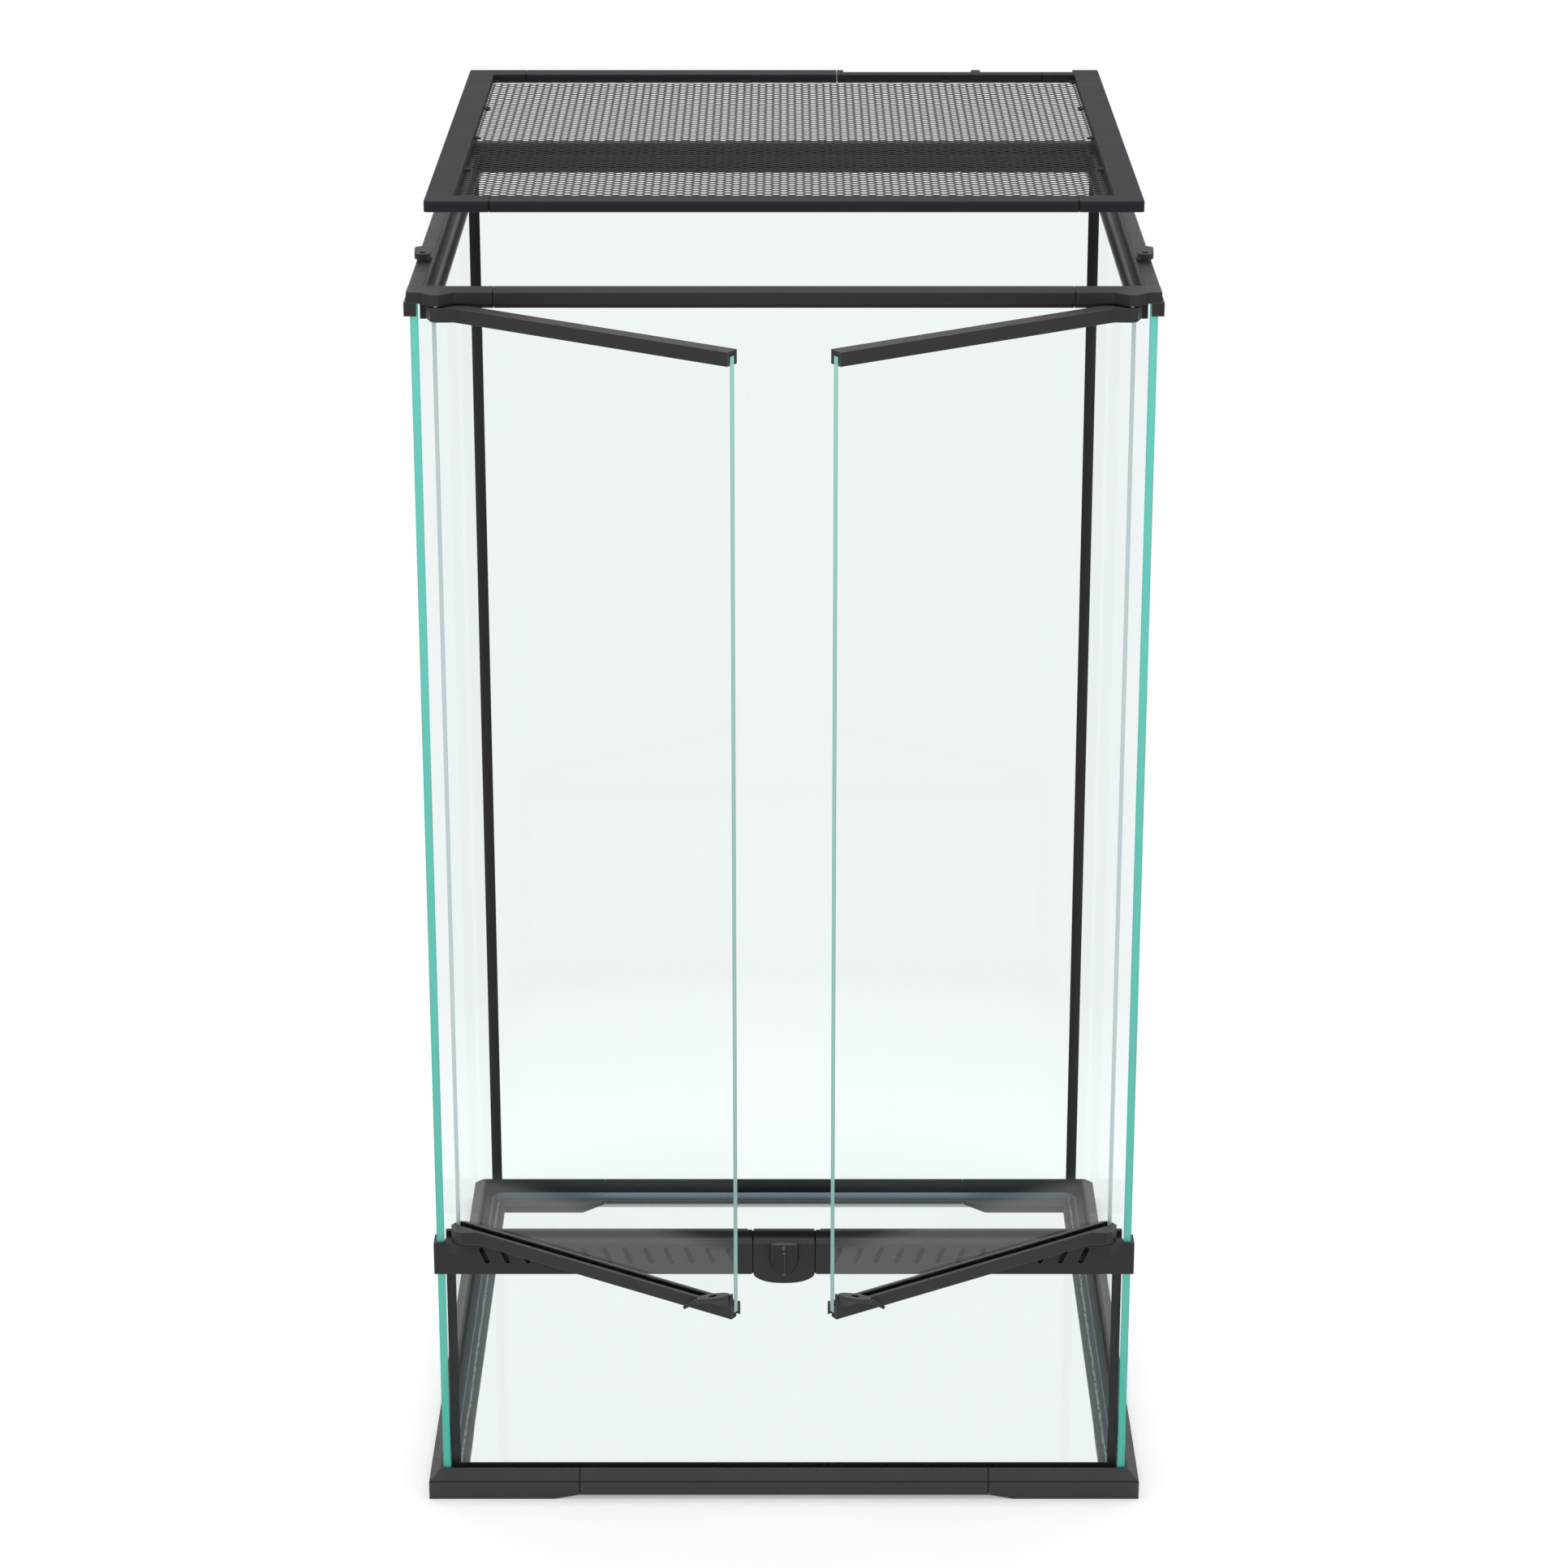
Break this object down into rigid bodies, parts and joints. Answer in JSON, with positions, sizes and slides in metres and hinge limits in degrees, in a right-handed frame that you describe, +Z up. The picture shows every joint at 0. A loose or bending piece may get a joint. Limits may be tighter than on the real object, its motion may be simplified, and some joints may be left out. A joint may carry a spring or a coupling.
{
  "type": "terrarium",
  "caption": "Tall glass terrarium with moulded top and base frames, hinged front glass doors, a slotted vent bar with a quarter-turn lock and a lift-off mesh lid with latches.",
  "frame": {"origin": "centre of the bottom of the box round the whole object as it stands in the picture, with both doors ajar and the lid held above its seat; the cabinet itself is centred at Y = +0.0557", "axes": "+Z up, -Y towards the front with the doors, +X to the right seen from the front"},
  "size_m": [0.468, 0.5794, 0.8635],
  "materials": {
    "black_plastic": "matte black moulding with a fine grain",
    "knob_plastic": "matte black",
    "clear_glass": "clear float glass with green edges",
    "black_silicone": "black silicone bead",
    "steel": "plain steel",
    "net_metal": "grey expanded metal net"
  },
  "bodies": {
    "cabinet": {"base_corner_front_left": "black_plastic", "base_corner_front_right": "black_plastic", "base_corner_rear_left": "black_plastic", "base_corner_rear_right": "black_plastic", "base_rail_front": "black_plastic", "base_rail_rear": "black_plastic", "base_rail_left": "black_plastic", "base_rail_right": "black_plastic", "floor_glass": "clear_glass", "side_glass_left": "clear_glass", "side_glass_right": "clear_glass", "rear_glass": "clear_glass", "front_lower_glass": "clear_glass", "rear_seal_left": "black_silicone", "rear_seal_right": "black_silicone", "front_seal_left": "black_silicone", "front_seal_right": "black_silicone", "vent_bar_left": "black_plastic", "vent_bar_right": "black_plastic", "lock_housing": "black_plastic", "top_corner_front_left": "black_plastic", "top_corner_front_right": "black_plastic", "top_corner_rear_left": "black_plastic", "top_corner_rear_right": "black_plastic", "top_rail_front": "black_plastic", "top_rail_rear": "black_plastic", "top_rail_left": "black_plastic", "top_rail_right": "black_plastic", "hinge_pin_upper_left": "steel", "hinge_pin_lower_left": "steel", "hinge_pin_upper_right": "steel", "hinge_pin_lower_right": "steel", "latch_screw_left": "steel", "latch_screw_right": "steel"},
    "door_left": {"door_glass_left": "clear_glass", "door_upper_rail_left": "black_plastic", "door_lower_rail_left": "black_plastic", "door_handle_left": "black_plastic"},
    "door_right": {"door_glass_right": "clear_glass", "door_upper_rail_right": "black_plastic", "door_lower_rail_right": "black_plastic", "door_handle_right": "black_plastic"},
    "lid": {"lid_corner_front_left": "black_plastic", "lid_corner_front_right": "black_plastic", "lid_corner_rear_left": "black_plastic", "lid_corner_rear_right": "black_plastic", "lid_rail_front": "black_plastic", "lid_rail_left": "black_plastic", "lid_rail_right": "black_plastic", "lid_rail_rear": "black_plastic", "lid_cable_inlet_rail": "black_plastic", "lid_net": "net_metal"},
    "latch_left": {"lid_latch_left": "black_plastic"},
    "latch_right": {"lid_latch_right": "black_plastic"},
    "lock": {"lock_knob": "knob_plastic", "lock_cam": "steel"}
  },
  "joints": [
    {"name": "door_left_hinge", "type": "hinge", "parent": "cabinet", "child": "door_left", "pos_m": [-0.209, -0.17497, 0.4945], "axis": [0, 0, -1], "range_deg": [-33, 117]},
    {"name": "door_right_hinge", "type": "hinge", "parent": "cabinet", "child": "door_right", "pos_m": [0.209, -0.17497, 0.4945], "axis": [0, 0, 1], "range_deg": [-33, 117]},
    {"name": "lid_lift", "type": "slide", "parent": "cabinet", "child": "lid", "axis": [0, 0, 1], "range_m": [-0.052, 0.1]},
    {"name": "latch_left_turn", "type": "hinge", "parent": "cabinet", "child": "latch_left", "pos_m": [-0.223, -0.08627, 0.8152], "axis": [0, 0, -1], "range_deg": [0, 90]},
    {"name": "latch_right_turn", "type": "hinge", "parent": "cabinet", "child": "latch_right", "pos_m": [0.223, -0.08627, 0.8152], "axis": [0, 0, 1], "range_deg": [0, 90]},
    {"name": "lock_turn", "type": "hinge", "parent": "cabinet", "child": "lock", "pos_m": [0, -0.17197, 0.1724], "axis": [0, -1, 0], "range_deg": [0, 90]}
  ]
}
